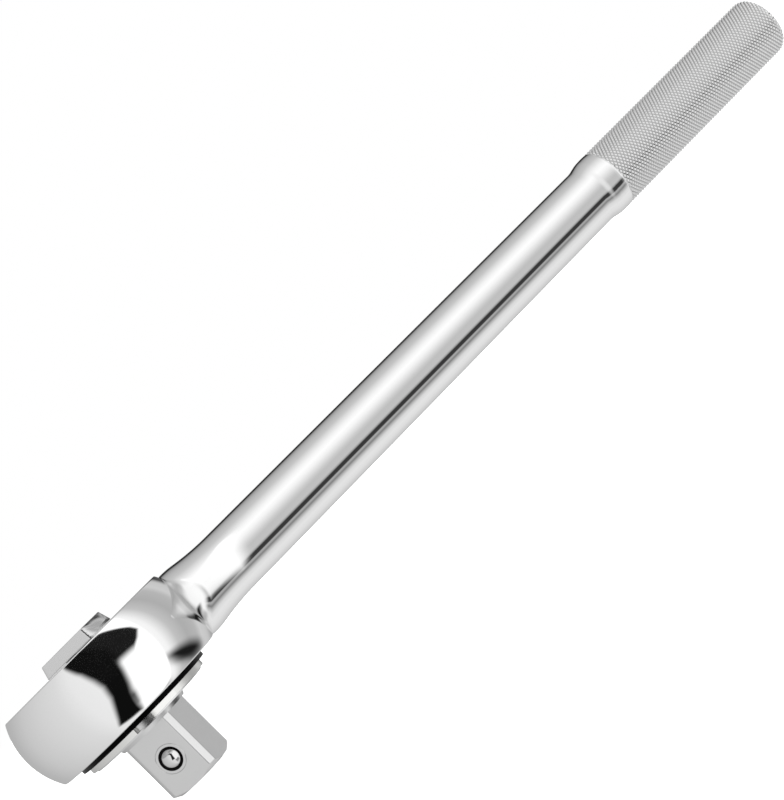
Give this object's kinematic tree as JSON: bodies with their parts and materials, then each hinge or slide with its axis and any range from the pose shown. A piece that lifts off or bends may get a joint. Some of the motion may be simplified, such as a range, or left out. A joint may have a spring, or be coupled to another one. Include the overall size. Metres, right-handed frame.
{
  "type": "ratchet wrench",
  "caption": "Round-head ratchet wrench with a square drive, a reversing lever on the drive axis and a knurled round handle.",
  "frame": {"origin": "on the drive axis, at the shoulder where a socket seats", "axes": "+X along the handle towards the grip, +Z along the drive axis from the square towards the lever"},
  "size_m": [0.3514, 0.07, 0.058],
  "materials": {
    "chrome_forging": "mirror chrome over forged steel, knurled at the grip",
    "steel_washer": "ground steel washer",
    "satin_spindle": "satin nickel-chrome on machined steel",
    "black_plate": "black oxide on steel",
    "bright_ring": "bright plated spring steel",
    "spring_clip": "phosphated spring steel",
    "pawl_steel": "hardened tool steel",
    "pin_steel": "ground dowel steel",
    "spring_wire": "drawn spring wire",
    "cam_steel": "machined steel",
    "seal_rubber": "matt nitrile rubber",
    "satin_lever": "satin chrome on cast steel",
    "screw_steel": "zinc plated steel",
    "ball_steel": "polished bearing steel"
  },
  "bodies": {
    "handle": {"handle_body": "chrome_forging", "thrust_washer": "steel_washer"},
    "drive": {"drive_spindle": "satin_spindle", "cover_plate": "black_plate", "split_ring": "bright_ring", "spindle_circlip": "spring_clip", "pawl_pin_forward": "pin_steel", "pawl_pin_reverse": "pin_steel", "pawl_spring_forward": "spring_wire", "pawl_spring_reverse": "spring_wire", "cam_circlip": "spring_clip", "drive_ball_spring": "spring_wire"},
    "selector": {"selector_cam": "cam_steel", "cam_seal": "seal_rubber", "reversing_lever": "satin_lever", "lever_screw": "screw_steel", "detent_spring": "spring_wire"},
    "forward_pawl": {"pawl_forward": "pawl_steel"},
    "reverse_pawl": {"pawl_reverse": "pawl_steel"},
    "lever_detent": {"detent_ball": "ball_steel"},
    "socket_ball": {"drive_ball": "ball_steel"}
  },
  "joints": [
    {"name": "drive_spin", "type": "hinge", "parent": "handle", "child": "drive", "pos_m": [0, 0, 0], "axis": [0, 0, 1], "continuous": true},
    {"name": "lever_flip", "type": "hinge", "parent": "drive", "child": "selector", "pos_m": [0, 0, 0.03], "axis": [0, 0, 1], "range_deg": [0, 40]},
    {"name": "forward_pawl_rock", "type": "hinge", "parent": "drive", "child": "forward_pawl", "pos_m": [-0.00172, 0.01641, 0.0184], "axis": [0, 0, 1], "range_deg": [0, 12], "deforming": ["pawl_spring_forward"]},
    {"name": "reverse_pawl_rock", "type": "hinge", "parent": "drive", "child": "reverse_pawl", "pos_m": [-0.01483, -0.00723, 0.0184], "axis": [0, 0, 1], "range_deg": [0, 12], "deforming": ["pawl_spring_reverse"]},
    {"name": "detent_ball_press", "type": "slide", "parent": "selector", "child": "lever_detent", "axis": [-0.6561, 0.7547, 0], "range_m": [0, 0.0005], "stiffness_N_per_m": 800, "springref_m": -0.0005, "deforming": ["detent_spring"]},
    {"name": "socket_ball_press", "type": "slide", "parent": "drive", "child": "socket_ball", "axis": [0.4848, 0.8746, 0], "range_m": [0, 0.0015], "stiffness_N_per_m": 3000, "springref_m": -0.001, "deforming": ["drive_ball_spring"]}
  ],
  "couplings": [
    {"joint": "forward_pawl_rock", "follows": "lever_flip", "ratio": 0.3},
    {"joint": "reverse_pawl_rock", "follows": "lever_flip", "ratio": 0.3}
  ]
}
